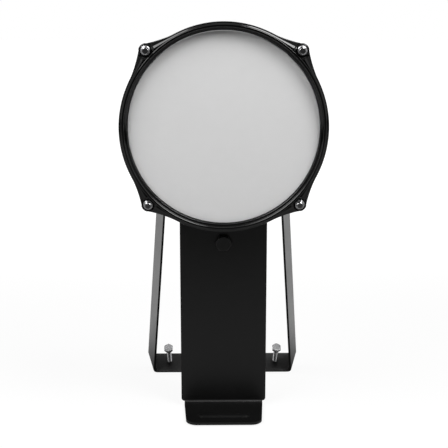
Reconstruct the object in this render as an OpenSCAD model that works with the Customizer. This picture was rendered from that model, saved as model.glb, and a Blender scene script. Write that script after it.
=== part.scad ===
// Kick-drum practice pad: a round mesh head in a tension hoop, carried on a bent steel tower
// with a tongue for the pedal clamp and a folded flat-bar brace with two spurs behind it.
// Millimetres, +Z up, the struck face looks along -Y.
// The origin is on the floor, under the middle of the foot pad.

/* [Pad shell] */
// Outer radius of the shell that the head is stretched over
shell_r = 96.5; // [85:0.5:120]
// Side wall of the shell
shell_wall = 3.5; // [2.5:0.5:6]
// Back wall of the shell
shell_back = 4; // [3:0.5:7]
// Radius of the shell's back edge
shell_edge_r = 7; // [3:0.5:10]
// Depth of the pad, from the hoop's front to the shell's back
pad_depth = 53; // [48:1:80]
// Height of the head's centre above the floor
pad_height = 318.5; // [300:0.5:360]

/* [Drum head] */
// Depth of the head behind the hoop's front
head_recess = 8; // [6:0.5:9]
// Thickness of the mesh
mesh_t = 0.8; // [0.5:0.1:1.2]
// Width of the ring that the mesh is bonded to
flesh_w = 4.2; // [3:0.1:6]
// Depth of that ring
flesh_h = 6; // [4:0.5:7]

/* [Tension hoop] */
// Width of the hoop's wall outside the bonded ring
hoop_wall = 3.6; // [3:0.1:8]
// Depth of the hoop from front to back
hoop_h = 22; // [19:0.5:25]
// Depth of the lip, from the hoop's front to where it bears on the bonded ring
lip_h = 12; // [10.5:0.5:13]
// Depth of the ears' rod seats behind the hoop's front
seat_d = 6; // [4.5:0.5:8]
// Distance of a tension rod's axis outside the hoop's outer wall
rod_out = 3.9; // [2.5:0.1:6]
// Radius of the boss at the end of an ear
ear_r = 7.5; // [7:0.1:10]
// Radius of the hollow flanks that run from an ear to the hoop
ear_flank_r = 140; // [60:5:200]
// Depth of an ear from the hoop's front to its back
ear_back = 18; // [14:0.5:20]

/* [Tension rods] */
// Radius of a tension rod
rod_r = 2.5; // [2:0.1:3]
// Length of a tension rod below its head
rod_len = 36; // [34:1:37]
// Width of the square head for the drum key
key_w = 6; // [5:0.1:6.4]
// Height of the square head
key_h = 5.5; // [4:0.5:8]
// Radius of the flange under the square head
flange_r = 4.6; // [4.2:0.1:5]
// Radius of a rod's washer
washer_r = 5.5; // [5.2:0.1:6]
// Thickness of a rod's washer
washer_t = 1.2; // [0.8:0.1:2]
// Radius of the threaded insert in a lug
insert_r = 4; // [3.5:0.1:4.6]
// Length of the threaded insert
insert_h = 10; // [8:0.5:12]

/* [Trigger] */
// Width of the bar that carries the sensor
sensor_bar_w = 30; // [24:1:34]
// Distance between the sensor bar's screws
sensor_span = 120; // [90:2:130]
// Thickness of the sensor bar
sensor_bar_t = 2; // [1.5:0.5:3]
// Depth of the sensor bar's front face behind the hoop's front
sensor_d = 28; // [24:0.5:32]
// Radius of the piezo disc
piezo_r = 17.5; // [10:0.5:20]
// Thickness of the piezo disc
piezo_t = 0.5; // [0.3:0.1:1]
// Radius of the foam cone where it meets the head
cone_tip_r = 6; // [4:0.5:10]
// Bore of the jack socket
jack_bore_r = 3.2; // [3.2:0.05:3.3]
// Radius of the jack's threaded neck
jack_neck_r = 4.75; // [4.5:0.05:5.5]
// Place of the jack to the side of the head's centre
jack_x = 74; // [72:0.5:75]
// Place of the jack above the head's centre
jack_z = 25; // [25:0.5:27]

/* [Tower] */
// Width of the tower plate
plate_w = 95; // [90:1:120]
// Thickness of the tower plate
plate_t = 3; // [2:0.5:4]
// Gap between the shell and the tower plate's top edge below it
plate_gap = 6; // [5:0.5:16]
// Length of the pedal tongue in front of the tower plate
tongue_len = 56; // [50:0.5:80]
// Width of the tongue at the tower plate
tongue_root_w = 88; // [80:0.5:89]
// Width of the tongue before its front corners
tongue_tip_w = 82.5; // [76:0.5:84]
// Radius of the tongue's front corners
tongue_corner_r = 12; // [4:0.5:16]
// Inside radius of the plate's bends
plate_bend_r = 3; // [1.5:0.5:4]
// Radius of the tower plate's lower corners
shoulder_r = 3.4; // [1:0.1:3.5]
// Length of the pressed bead across the tongue
bead_len = 57; // [30:1:70]
// Width of the pressed bead
bead_w = 10; // [5:0.5:12]
// Height of the pressed bead
bead_h = 0.8; // [0.4:0.1:1.5]
// Distance of the bead in front of the tower plate
bead_out = 38; // [24:0.5:44]
// Thickness of the rubber foot pad under the tongue
foot_t = 1.5; // [1:0.5:4]
// Margin from the tongue's edges to the foot pad
foot_margin = 8; // [5:0.5:14]

/* [Pad carrier] */
// Thickness of the carrier plate
carrier_t = 3; // [2:0.5:4]
// Distance from a brace stud to the side edge of the carrier's wings
wing_side = 7; // [6:0.5:10]
// Height of the carrier's wings
wing_h = 72; // [68:1:84]
// Distance of the wings' lower edge below the brace studs
wing_below = 43; // [38:0.5:48]
// Width of the strap that runs up behind the tower plate and the pad
strap_w = 80; // [78:1:88]
// Radius of the circle of the shell's four screws
screw_circle_r = 30; // [24:0.5:31]
// Radius of a shell screw
screw_r = 2.5; // [2:0.25:3]
// Height of the clamp bolt above the floor
bolt_z = 189.5; // [180:0.5:192]
// Radius of the clamp bolt
bolt_r = 5; // [4:0.5:6]
// Width across the flats of the clamp bolt's head
bolt_flats = 16; // [14:0.5:19]
// Height of the clamp bolt's head
bolt_head_h = 6.4; // [5:0.2:8]
// Width of the hook at the tower plate's top
hook_w = 40; // [24:1:60]
// Length of the hook past the carrier
hook_out = 7; // [5:0.5:12]

/* [Brace] */
// Width of the brace's flat bar
bar_w = 25; // [22:0.5:28]
// Thickness of the flat bar
bar_t = 2.5; // [2:0.25:4]
// Tilt of the bottom bar, its back edge up
bar_tilt = 42; // [40:0.5:44]
// Half the length of the bottom bar, at the middle of its width
bar_half = 88.5; // [86:0.5:96]
// Distance of the bottom bar's front edge behind the tower plate's front
bar_back = 100.5; // [96:0.5:106]
// Slant of the fold between the bottom bar and a leg
corner_slant_angle = 17; // [15:0.5:19]
// Angle of that fold
corner_fold_angle = 100.7; // [99:0.1:102]
// Radius of the folds, at the middle of the bar's thickness
fold_r = 4; // [3:0.5:5]
// Length of the tab at a leg's top, along the bar
tab_len = 46; // [44:1:56]
// Place of the stud along the tab
stud_along = 29; // [28:0.5:30]
// Radius of a brace stud
stud_r = 3; // [2.5:0.25:3.5]

/* [Spurs] */
// Radius of a spur bolt
spur_r = 3; // [2.5:0.25:3.5]
// Length of a spur below its head
spur_len = 44; // [40:0.5:45]
// Height of a spur's head above the bar, measured to its top
spur_up = 33.3; // [30:0.1:36]
// Distance of a spur from the end of the bottom bar
spur_end = 22.5; // [18:0.5:30]
// Distance of a spur from the bar's front edge
spur_in = 15.5; // [12:0.5:17]
// Width across the flats of a spur's head
spur_flats = 10; // [8:0.5:11]
// Height of a spur's head
spur_head_h = 4; // [3:0.5:6]
// Length of a spur's point
spur_point = 6; // [3:0.5:8]

/* [Hidden] */
$fn = 96;
// Clearance of a part that turns or slides in its bore
run_gap = 0.06;
// Clearance round a bolt or screw in a plain hole
bolt_gap = 0.3;
// Clearance between neighbours that are fitted into each other
fit_gap = 0.1;
// Clearance between a moving face and its seat
seat_gap = 0.15;
// Clearance between the stretched mesh and the solids near it
mesh_gap = 0.3;
// Overlap that joins the shapes of one solid
weld = 0.5;
// Depth to which an ear's flanks run into the hoop and the boss
run_in = 0.4;
// Length that takes a cut right through
through = 200;

plate_y = tongue_len / 2;
carrier_y = plate_y + plate_t;
carrier_back_y = carrier_y + carrier_t;
lip_y = carrier_y - pad_depth;
tongue_z = foot_t + plate_t;
plate_top = pad_height - shell_r - plate_gap;

skirt_in_r = shell_r + mesh_gap;
skirt_r = skirt_in_r + mesh_t;
flesh_in_r = skirt_r + fit_gap;
flesh_r = flesh_in_r + flesh_w;
lip_r = skirt_r + 2 * mesh_gap;
hoop_in_r = flesh_r + 2 * mesh_gap;
hoop_r = hoop_in_r + hoop_wall;
rod_circle_r = hoop_r + rod_out;
rod_xz = rod_circle_r * sqrt(0.5);
rod_sides = [[-1, 1], [1, 1], [-1, -1], [1, -1]];
// Turn of each rod's square head, as left by the drum key
rod_turns = [28, 52, 17, 66];

// Front of the hoop, from the lip outwards: a bevel in two steps, a ridge, a groove and a shoulder
bevel_w = [1.3, 2.2];
bevel_d = [4.8, 3.4, 2.9];
ridge_r = 1.1;
ridge_out = 0.6;
ridge_angles = [205, 345];
groove_out = 1.9;
groove_d = 2;
shoulder_d = 2.3;
hoop_edge_r = 1.2;

// Ears of the hoop and heads of the rods
seat_r = washer_r + 0.6;
rim_t = 1.3;
web_d = seat_d + 1;
web_h = ear_back - web_d - 1.5;
flange_h = 1.6;
flange_bevel = 0.8;
// Radius that the square head's corners are turned to, as a part of its width
key_turn = 0.6;

// Shell with its lugs and bosses
bearing_d = head_recess + mesh_t + mesh_gap;
bearing_bevel = 2;
bearing_r = 1.2;
back_fillet_r = 3;
// Lugs: gap behind the hoop, distance from the shell's back, wall round the insert, and the web's
// step back from the lug's sides
lug_gap = 4;
lug_short = 4;
lug_wall = 3;
lug_step = 2;
lug_floor = 2;
lug_d = hoop_h + lug_gap;
lug_r = insert_r + lug_wall;
lug_web = 2 * (lug_r - lug_step);
lug_end_d = pad_depth - lug_short;
back_in_d = pad_depth - shell_back;
screw_depth = 10;
screw_tip_gap = 1;
screw_head_r = screw_r + 2;
screw_head_h = 2.8;
screw_head_taper = 1;
boss_wall = 2.4;

// Trigger
sensor_screw_r = 1.5;
sensor_screw_len = 12;
sensor_head_r = 3;
sensor_head_taper = 0.8;
sensor_head_h = 2;
sensor_boss_r = 4.5;
sensor_bar_end = 8;
sensor_bar_corner_r = 5;
cone_margin = 0.5;
jack_body = 15;
jack_body_h = 20;
jack_floor = 3;
jack_neck_out = 8;
jack_nut_flats = 13;
jack_nut_h = 3;

// Tower, foot pad and carrier
hook_bend_r = 1.5;
shoulder_up = 1;
foot_corner_r = 6;
clamp_washer_r = 2 * bolt_r;
clamp_washer_t = 2;
clamp_nut_h = 8;
bolt_past = 3;
strap_below = 24;
strap_above = 14;
wing_corner_r = 16;
strap_corner_r = 8;

// Studs, nuts and spurs
stud_head_r = stud_r + 1.5;
stud_head_h = 1.4;
nut_ratio = 10 / 6;
stud_nut_h = 6;
stud_flange_r = 2 * stud_r + 0.8;
stud_flange_h = 1.4;
stud_past = 2;
spur_nut_h = 5;
spur_x = bar_half - spur_end;
spur_tip_r = 0.4;
// Turned corners of hexagons: their part of the height, and the end's part of the flats
hex_turn = 0.2;
hex_end = 0.96;

// Points of an arc about a centre, from one angle to another
function arc(centre, r, from, to, steps = 8) =
    [for (i = [0 : steps]) let (a = from + (to - from) * i / steps) centre + r * [cos(a), sin(a)]];

// Matrices for the folded bar
function shifted(v) = [[1, 0, 0, v[0]], [0, 1, 0, v[1]], [0, 0, 1, v[2]], [0, 0, 0, 1]];
function turned(k, a) =
    let (c = cos(a), s = sin(a), q = 1 - c, x = k[0], y = k[1], z = k[2])
    [[x * x * q + c, x * y * q - z * s, x * z * q + y * s, 0],
     [y * x * q + z * s, y * y * q + c, y * z * q - x * s, 0],
     [z * x * q - y * s, z * y * q + x * s, z * z * q + c, 0],
     [0, 0, 0, 1]];
function xyz(v) = [v[0], v[1], v[2]];
function moved(m, p) = xyz(m * [p[0], p[1], p[2], 1]);
function aimed(m, v) = xyz(m * [v[0], v[1], v[2], 0]);

// One crease across the flat bar: place along the bar, slant of the crease and its angle
function crease(f) =
    shifted([f[0], 0, 0]) * turned([sin(f[1]), cos(f[1]), 0], -f[2]) * shifted([-f[0], 0, 0]);
// A rounded fold is a few creases side by side, set so that the two flats meet at the place given
creases = 6;
function fold(at, slant, angle) =
    let (a = angle / creases,
         step = fold_r * a * PI / 180,
         chord = step * sin((creases - 1) * a / 2) / sin(a / 2),
         first = at - chord / (2 * cos(angle / 2)) / cos(slant))
    [for (i = [0 : creases - 1]) [first + i * step / cos(slant), slant, a]];
// The move of the flat after the first n creases
function folded(f, n) = n == 0 ? shifted([0, 0, 0]) : folded(f, n - 1) * crease(f[n - 1]);

// The bottom bar lies along X on its front edge, and its own Z points up out of its top face
bar_seat = shifted([0, plate_y + bar_back, 0]) * turned([1, 0, 0], bar_tilt)
         * shifted([0, bar_w / 2, bar_t / 2]);
corner = fold(bar_half, corner_slant_angle, corner_fold_angle);
leg_seat = bar_seat * folded(corner, creases);
leg_along = aimed(leg_seat, [1, 0, 0]);
leg_across = aimed(leg_seat, [0, 1, 0]);
leg_normal = aimed(leg_seat, [0, 0, 1]);
// The tab's crease is where the leg's plane meets the plane of the carrier's back
crease_axis = cross([0, 1, 0], leg_normal) / norm(cross([0, 1, 0], leg_normal));
crease_dir = crease_axis * leg_across < 0 ? -crease_axis : crease_axis;
tab_slant = atan2(crease_dir * leg_along, crease_dir * leg_across);
crease_square = cos(tab_slant) * leg_along - sin(tab_slant) * leg_across;
tab_fold = atan2(-crease_square[1], leg_normal[1]);
tab_y = carrier_back_y + bar_t / 2;
tab_at = (tab_y - moved(leg_seat, [0, 0, 0])[1]) / leg_along[1];
brace_folds = concat(corner, fold(tab_at, tab_slant, tab_fold));
tab_seat = bar_seat * folded(brace_folds, 2 * creases);
stud_at = moved(tab_seat, [tab_at + stud_along, 0, 0]);

// Corners of the bar's cross-section along a crease, or square across it at its end
function cut(m, at, slant, half_t) =
    [for (c = [[-1, -1], [-1, 1], [1, 1], [1, -1]])
        moved(m, [at + c[0] * bar_w / 2 * tan(slant), c[0] * bar_w / 2, c[1] * half_t])];
function crease_cut(i) =
    let (f = brace_folds[i], half = [f[0], f[1], f[2] / 2])
    cut(bar_seat * folded(brace_folds, i) * crease(half), f[0], f[1], bar_t / 2 / cos(f[2] / 2));
right_cuts = [for (i = [0 : 2 * creases]) i < 2 * creases ? crease_cut(i)
              : cut(tab_seat, tab_at + tab_len, 0, bar_t / 2)];
left_cuts = [for (i = [2 * creases : -1 : 0]) [for (p = right_cuts[i]) [-p[0], p[1], p[2]]]];
brace_cuts = concat(left_cuts, right_cuts);

// Placing: onto the pad's axis with Z as depth, onto each rod, onto the bar's top at a spur
module on_pad(d = 0) {
    translate([0, lip_y + d, pad_height]) rotate([-90, 0, 0]) children();
}

module on_rod(side, d = 0) {
    translate([side[0] * rod_xz, lip_y + d, pad_height + side[1] * rod_xz])
        rotate([-90, 0, 0]) children();
}

module on_rods(d = 0) {
    for (side = rod_sides) on_rod(side, d) children();
}

module on_bar(x) {
    translate([x, plate_y + bar_back, 0]) rotate([bar_tilt, 0, 0])
        translate([0, spur_in, bar_t]) children();
}

module on_screws(d) {
    for (a = [0 : 90 : 270]) on_pad(d) rotate(a) translate([screw_circle_r, 0, 0]) children();
}

module on_studs(y) {
    for (x = [-1, 1]) translate([x * stud_at[0], y, stud_at[2]]) rotate([-90, 0, 0]) children();
}

// Shapes that repeat
module rounded_rect(w, h, r) {
    square([w - 2 * r, h], center = true);
    square([w, h - 2 * r], center = true);
    for (x = [-1, 1], y = [-1, 1]) translate([x * (w / 2 - r), y * (h / 2 - r)]) circle(r);
}

module ring(outer, inner, h) {
    linear_extrude(h) difference() {
        circle(outer);
        circle(inner);
    }
}

module hexagon(flats, h) {
    cylinder(r = flats / sqrt(3), h = h, $fn = 6);
}

// A hexagon with its corners turned off at the far end, as bolt heads and nuts have
module turned_hexagon(flats, h) {
    intersection() {
        hexagon(flats, h);
        union() {
            cylinder(r = flats, h = h * (1 - hex_turn));
            translate([0, 0, h * (1 - hex_turn)])
                cylinder(r1 = flats / sqrt(3), r2 = flats / 2 * hex_end, h = h * hex_turn);
        }
    }
}

// Outline of the web between the hoop and one ear, whose hollow flanks run into the hoop and the boss
module ear_web() {
    flank_c = hoop_r - run_in + ear_flank_r;
    boss_c = ear_r - run_in + ear_flank_r;
    swing = acos((rod_circle_r ^ 2 + flank_c ^ 2 - boss_c ^ 2) / (2 * rod_circle_r * flank_c));
    difference() {
        polygon([[0, 0], flank_c * [cos(swing), sin(swing)], [rod_circle_r, 0],
                 flank_c * [cos(swing), -sin(swing)]]);
        for (s = [-1, 1]) rotate(s * swing) translate([flank_c, 0]) circle(ear_flank_r);
        circle(hoop_in_r + hoop_wall / 2);
    }
}

// Section of the hoop: radius across, depth upwards
module hoop_section() {
    groove_r = hoop_in_r + groove_out;
    round_r = hoop_r - groove_r;
    polygon(concat(
        [[lip_r, lip_h], [lip_r, bevel_d[0]], [lip_r + bevel_w[0], bevel_d[1]],
         [lip_r + bevel_w[1], bevel_d[2]]],
        arc([hoop_in_r + ridge_out, ridge_r], ridge_r, ridge_angles[0], ridge_angles[1], 7),
        [[groove_r, groove_d]],
        arc([hoop_r - round_r, shoulder_d + round_r], round_r, 270, 360, 8),
        arc([hoop_r - hoop_edge_r, hoop_h - hoop_edge_r], hoop_edge_r, 0, 90, 4),
        [[hoop_in_r, hoop_h], [hoop_in_r, lip_h]]));
}

// Section of the shell's wall, bearing edge and back
module shell_section() {
    fillet_at = shell_r - shell_wall - back_fillet_r;
    polygon(concat(
        [[0, back_in_d], [fillet_at, back_in_d]],
        arc([fillet_at, back_in_d - back_fillet_r], back_fillet_r, 90, 0, 5),
        [[shell_r - shell_wall, bearing_d + bearing_bevel], [shell_r - bearing_bevel, bearing_d]],
        arc([shell_r - bearing_r, bearing_d + bearing_r], bearing_r, 270, 360, 4),
        arc([shell_r - shell_edge_r, pad_depth - shell_edge_r], shell_edge_r, 0, 90, 8),
        [[0, pad_depth]]));
}

module mesh_head() {
    color("gainsboro") on_pad(head_recess) {
        cylinder(r = skirt_r, h = mesh_t);
        ring(skirt_r, skirt_in_r, lip_h + flesh_h - head_recess);
    }
}

module flesh_hoop() {
    color("dimgray") on_pad(lip_h) ring(flesh_r, flesh_in_r, flesh_h);
}

module tension_hoop() {
    color("#151515") difference() {
        union() {
            on_pad() rotate_extrude() hoop_section();
            for (a = [45 : 90 : 315])
                on_pad(web_d) rotate(a) linear_extrude(web_h) ear_web();
            on_rods(seat_d - rim_t) rotate_extrude() polygon(concat(
                [[0, ear_back - seat_d + rim_t], [0, 0]],
                arc([ear_r - rim_t, rim_t], rim_t, 270, 360, 4),
                [[ear_r, ear_back - seat_d + rim_t]]));
        }
        on_rods(-weld) cylinder(r = seat_r, h = seat_d + weld);
        on_rods() cylinder(r = rod_r + bolt_gap, h = hoop_h);
    }
}

module tension_rod(i) {
    head_d = seat_d - washer_t - seat_gap;
    point = rod_r / 2;
    color("silver") on_rod(rod_sides[i], head_d) {
        translate([0, 0, -flange_h]) cylinder(r1 = flange_r - flange_bevel, r2 = flange_r, h = flange_h);
        translate([0, 0, -flange_h - key_h]) intersection() {
            rotate(rod_turns[i]) translate([-key_w / 2, -key_w / 2, 0]) cube([key_w, key_w, key_h + weld]);
            cylinder(r1 = key_w * key_turn, r2 = key_w * key_turn + key_h, h = key_h + weld);
        }
        translate([0, 0, -weld]) cylinder(r = rod_r, h = rod_len - point + weld);
        translate([0, 0, rod_len - point]) cylinder(r1 = rod_r, r2 = rod_r / 2, h = point);
    }
}

module tension_rod_tl() { tension_rod(0); }
module tension_rod_tr() { tension_rod(1); }
module tension_rod_bl() { tension_rod(2); }
module tension_rod_br() { tension_rod(3); }

module rod_washers() {
    color("lightgray") on_rods(seat_d - washer_t) ring(washer_r, rod_r + bolt_gap, washer_t);
}

module lug_inserts() {
    color("goldenrod") on_rods(lug_d) ring(insert_r, rod_r + run_gap, insert_h);
}

module shell() {
    color("#202020") difference() {
        union() {
            on_pad() rotate_extrude() shell_section();
            on_rods(lug_d) cylinder(r = lug_r, h = lug_end_d - lug_d);
            for (side = rod_sides) translate([0, lip_y + lug_d, pad_height])
                rotate([0, -45 * side[1] * side[0] + (side[0] < 0 ? 180 : 0), 0])
                    translate([shell_r - shell_wall / 2, 0, -lug_web / 2])
                        cube([rod_circle_r - shell_r, lug_end_d - lug_d, lug_web]);
            on_screws(back_in_d - screw_depth) cylinder(r = screw_r + boss_wall, h = screw_depth + weld);
            for (x = [-1, 1])
                translate([x * sensor_span / 2, lip_y + sensor_d + sensor_bar_t, pad_height])
                    rotate([-90, 0, 0])
                        cylinder(r = sensor_boss_r, h = back_in_d - sensor_d - sensor_bar_t + weld);
        }
        on_rods(lug_d - weld) cylinder(r = insert_r + fit_gap, h = insert_h + weld);
        on_rods(lug_d) cylinder(r = rod_r + bolt_gap, h = lug_end_d - lug_d - lug_floor);
        on_screws(pad_depth - screw_depth - screw_tip_gap)
            cylinder(r = screw_r + fit_gap, h = screw_depth + screw_tip_gap + weld);
        for (x = [-1, 1]) translate([x * sensor_span / 2, lip_y + sensor_d, pad_height])
            rotate([-90, 0, 0])
                cylinder(r = sensor_screw_r + fit_gap, h = sensor_screw_len + screw_tip_gap);
        translate([jack_x, lip_y + back_in_d - weld, pad_height + jack_z])
            rotate([-90, 0, 0]) cylinder(r = jack_neck_r + fit_gap, h = shell_back + 2 * weld);
    }
}

module sensor_bar() {
    color("lightslategray") translate([0, lip_y + sensor_d, pad_height]) rotate([-90, 0, 0])
        linear_extrude(sensor_bar_t) difference() {
            rounded_rect(sensor_span + 2 * sensor_bar_end, sensor_bar_w, sensor_bar_corner_r);
            for (x = [-1, 1]) translate([x * sensor_span / 2, 0]) circle(sensor_screw_r + bolt_gap);
        }
}

module sensor_screws() {
    color("gray") for (x = [-1, 1]) translate([x * sensor_span / 2, lip_y + sensor_d, pad_height])
        rotate([-90, 0, 0]) {
            translate([0, 0, -sensor_head_h])
                cylinder(r1 = sensor_head_r - sensor_head_taper, r2 = sensor_head_r, h = sensor_head_h);
            cylinder(r = sensor_screw_r, h = sensor_screw_len);
        }
}

module piezo_disc() {
    color("gold") on_pad(sensor_d - piezo_t) cylinder(r = piezo_r, h = piezo_t);
}

module foam_cone() {
    color("#404040") on_pad(bearing_d)
        cylinder(r1 = cone_tip_r, r2 = piezo_r - cone_margin, h = sensor_d - piezo_t - bearing_d);
}

module jack_socket() {
    color("#303030") translate([jack_x, lip_y + back_in_d, pad_height + jack_z]) rotate([-90, 0, 0])
        difference() {
            union() {
                translate([-jack_body / 2, -jack_body / 2, -jack_body_h])
                    cube([jack_body, jack_body, jack_body_h]);
                translate([0, 0, -weld]) cylinder(r = jack_neck_r, h = shell_back + jack_neck_out + weld);
            }
            translate([0, 0, jack_floor - jack_body_h]) cylinder(r = jack_bore_r, h = through);
        }
}

module jack_nut() {
    color("silver") translate([jack_x, lip_y + pad_depth, pad_height + jack_z]) rotate([-90, 0, 0])
        difference() {
            turned_hexagon(jack_nut_flats, jack_nut_h);
            translate([0, 0, -weld]) cylinder(r = jack_neck_r + fit_gap, h = jack_nut_h + 2 * weld);
        }
}

module tower_plate() {
    bend_z = tongue_z + plate_bend_r;
    shoulder_z = tongue_z + shoulder_up;
    color("#1c1c1c") difference() {
        union() {
            // Upright plate with rounded lower shoulders
            translate([0, plate_y + plate_t, 0]) rotate([90, 0, 0]) linear_extrude(plate_t) {
                translate([-plate_w / 2, shoulder_z + shoulder_r])
                    square([plate_w, plate_top - plate_t - hook_bend_r - shoulder_z - shoulder_r]);
                translate([-plate_w / 2 + shoulder_r, shoulder_z])
                    square([plate_w - 2 * shoulder_r, plate_top - plate_t - hook_bend_r - shoulder_z]);
                for (x = [-1, 1]) translate([x * (plate_w / 2 - shoulder_r), shoulder_z + shoulder_r])
                    circle(shoulder_r);
                for (x = [-1, 1]) translate([x * (plate_w + hook_w) / 4, plate_top - plate_t])
                    square([(plate_w - hook_w) / 2, 2 * plate_t], center = true);
            }
            // Bend and tongue
            translate([-tongue_root_w / 2, plate_y - plate_bend_r, bend_z])
                rotate([0, 90, 0]) linear_extrude(tongue_root_w) intersection() {
                    difference() {
                        circle(plate_bend_r + plate_t);
                        circle(plate_bend_r);
                    }
                    square(plate_bend_r + plate_t);
                }
            translate([0, 0, foot_t]) linear_extrude(plate_t) tongue_outline();
            translate([0, plate_y - bead_out, tongue_z]) bead();
            // Hook at the top, bent back through the carrier
            translate([-hook_w / 2, plate_y + plate_t + hook_bend_r, plate_top - plate_t - hook_bend_r])
                rotate([0, 90, 0]) linear_extrude(hook_w) intersection() {
                    difference() {
                        circle(hook_bend_r + plate_t);
                        circle(hook_bend_r);
                    }
                    translate([-hook_bend_r - plate_t, -hook_bend_r - plate_t])
                        square(hook_bend_r + plate_t);
                }
            translate([-hook_w / 2, plate_y + plate_t + hook_bend_r, plate_top - plate_t])
                cube([hook_w, carrier_t + hook_out - hook_bend_r, plate_t]);
        }
        translate([0, plate_y - weld, bolt_z]) rotate([-90, 0, 0])
            cylinder(r = bolt_r + bolt_gap, h = plate_t + 2 * weld);
    }
}

module tongue_outline() {
    root_y = plate_y - plate_bend_r;
    tip_y = plate_y - tongue_len;
    r = tongue_corner_r;
    polygon(concat([[-tongue_root_w / 2, root_y]],
                   arc([-tongue_tip_w / 2 + r, tip_y + r], r, 180, 270),
                   arc([tongue_tip_w / 2 - r, tip_y + r], r, 270, 360),
                   [[tongue_root_w / 2, root_y]]));
}

// A low dome with round ends, pressed up along X
module bead() {
    crown_r = (bead_w ^ 2 / 4 + bead_h ^ 2) / (2 * bead_h);
    span = asin(bead_w / 2 / crown_r);
    half_len = (bead_len - bead_w) / 2;
    translate([-half_len, 0, 0]) rotate([90, 0, 90]) linear_extrude(2 * half_len)
        polygon(concat([[-bead_w / 2, -weld], [bead_w / 2, -weld]],
                       arc([0, bead_h - crown_r], crown_r, 90 - span, 90 + span, 8)));
    for (x = [-1, 1]) translate([x * half_len, 0, 0]) rotate_extrude()
        polygon(concat([[0, -weld], [bead_w / 2, -weld]],
                       arc([0, bead_h - crown_r], crown_r, 90 - span, 90, 4)));
}

module foot_pad() {
    color("#101010") linear_extrude(foot_t)
        rounded_rect(tongue_tip_w - 2 * foot_margin, tongue_len - 2 * foot_margin, foot_corner_r);
}

module pad_carrier() {
    strap_bottom = bolt_z - strap_below;
    strap_h = pad_height + screw_circle_r + strap_above - strap_bottom;
    slot_h = plate_t + hook_bend_r + 2 * bolt_gap;
    color("#262626") difference() {
        translate([0, carrier_back_y, 0]) rotate([90, 0, 0]) linear_extrude(carrier_t)
            difference() {
                union() {
                    translate([0, stud_at[2] - wing_below + wing_h / 2])
                        rounded_rect(2 * (stud_at[0] + wing_side), wing_h, wing_corner_r);
                    translate([0, strap_bottom + strap_h / 2])
                        rounded_rect(strap_w, strap_h, strap_corner_r);
                }
                translate([-hook_w / 2 - bolt_gap, plate_top + bolt_gap - slot_h])
                    square([hook_w + 2 * bolt_gap, slot_h]);
            }
        translate([0, plate_y, bolt_z]) rotate([-90, 0, 0]) cylinder(r = bolt_r + bolt_gap, h = through);
        on_screws(0) cylinder(r = screw_r + bolt_gap, h = through);
        on_studs(plate_y) cylinder(r = stud_r + fit_gap, h = through);
        on_studs(carrier_y - weld) cylinder(r = stud_head_r + fit_gap, h = stud_head_h + fit_gap + weld);
    }
}

module shell_screws() {
    color("gray") on_screws(pad_depth + carrier_t) {
        cylinder(r1 = screw_head_r, r2 = screw_head_r - screw_head_taper, h = screw_head_h);
        translate([0, 0, -carrier_t - screw_depth])
            cylinder(r = screw_r, h = carrier_t + screw_depth + weld);
    }
}

module clamp_bolt() {
    grip = plate_t + carrier_t + clamp_washer_t + clamp_nut_h + bolt_past;
    color("#181818") translate([0, plate_y, bolt_z]) {
        rotate([90, 0, 0]) turned_hexagon(bolt_flats, bolt_head_h);
        rotate([-90, 0, 0]) translate([0, 0, -weld]) cylinder(r = bolt_r, h = grip + weld);
    }
}

module clamp_washer() {
    color("silver") translate([0, carrier_back_y, bolt_z]) rotate([-90, 0, 0])
        ring(clamp_washer_r, bolt_r + bolt_gap, clamp_washer_t);
}

module clamp_nut() {
    color("silver") translate([0, carrier_back_y + clamp_washer_t, bolt_z]) rotate([-90, 0, 0])
        difference() {
            turned_hexagon(bolt_flats, clamp_nut_h);
            translate([0, 0, -weld]) cylinder(r = bolt_r + fit_gap, h = clamp_nut_h + 2 * weld);
        }
}

module brace() {
    last = len(brace_cuts) - 1;
    color("#2a2a2a") difference() {
        polyhedron(
            points = [for (c = brace_cuts, p = c) p],
            faces = concat(
                [[0, 1, 2, 3], [for (k = [3 : -1 : 0]) 4 * last + k]],
                [for (i = [0 : last - 1], k = [0 : 3])
                    [4 * i + k, 4 * i + 4 + k, 4 * i + 4 + (k + 1) % 4, 4 * i + (k + 1) % 4]]));
        for (x = [-1, 1]) on_bar(x * spur_x) translate([0, 0, -bar_t - weld])
            cylinder(r = spur_r + bolt_gap, h = bar_t + 2 * weld);
        on_studs(carrier_back_y - weld) cylinder(r = stud_r + bolt_gap, h = bar_t + 2 * weld);
    }
}

module brace_studs() {
    color("silver") on_studs(carrier_y + fit_gap) {
        cylinder(r = stud_head_r, h = stud_head_h);
        cylinder(r = stud_r, h = carrier_t - fit_gap + bar_t + stud_nut_h + stud_past);
    }
}

module brace_nuts() {
    color("silver") on_studs(carrier_back_y + bar_t) difference() {
        union() {
            turned_hexagon(nut_ratio * 2 * stud_r, stud_nut_h);
            cylinder(r = stud_flange_r, h = stud_flange_h);
        }
        translate([0, 0, -weld]) cylinder(r = stud_r + fit_gap, h = stud_nut_h + 2 * weld);
    }
}

module spur(x) {
    color("silver") on_bar(x) translate([0, 0, spur_up - spur_head_h]) {
        turned_hexagon(spur_flats, spur_head_h);
        translate([0, 0, spur_point - spur_len]) cylinder(r = spur_r, h = spur_len - spur_point + weld);
        translate([0, 0, -spur_len]) cylinder(r1 = spur_tip_r, r2 = spur_r, h = spur_point);
    }
}

module spur_left() { spur(-spur_x); }
module spur_right() { spur(spur_x); }

module spur_nuts() {
    color("#333333") for (x = [-1, 1])
        on_bar(x * spur_x) translate([0, 0, -bar_t - spur_nut_h]) difference() {
            hexagon(nut_ratio * 2 * spur_r, spur_nut_h);
            translate([0, 0, -weld]) cylinder(r = spur_r + run_gap, h = spur_nut_h + 2 * weld);
        }
}

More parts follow.
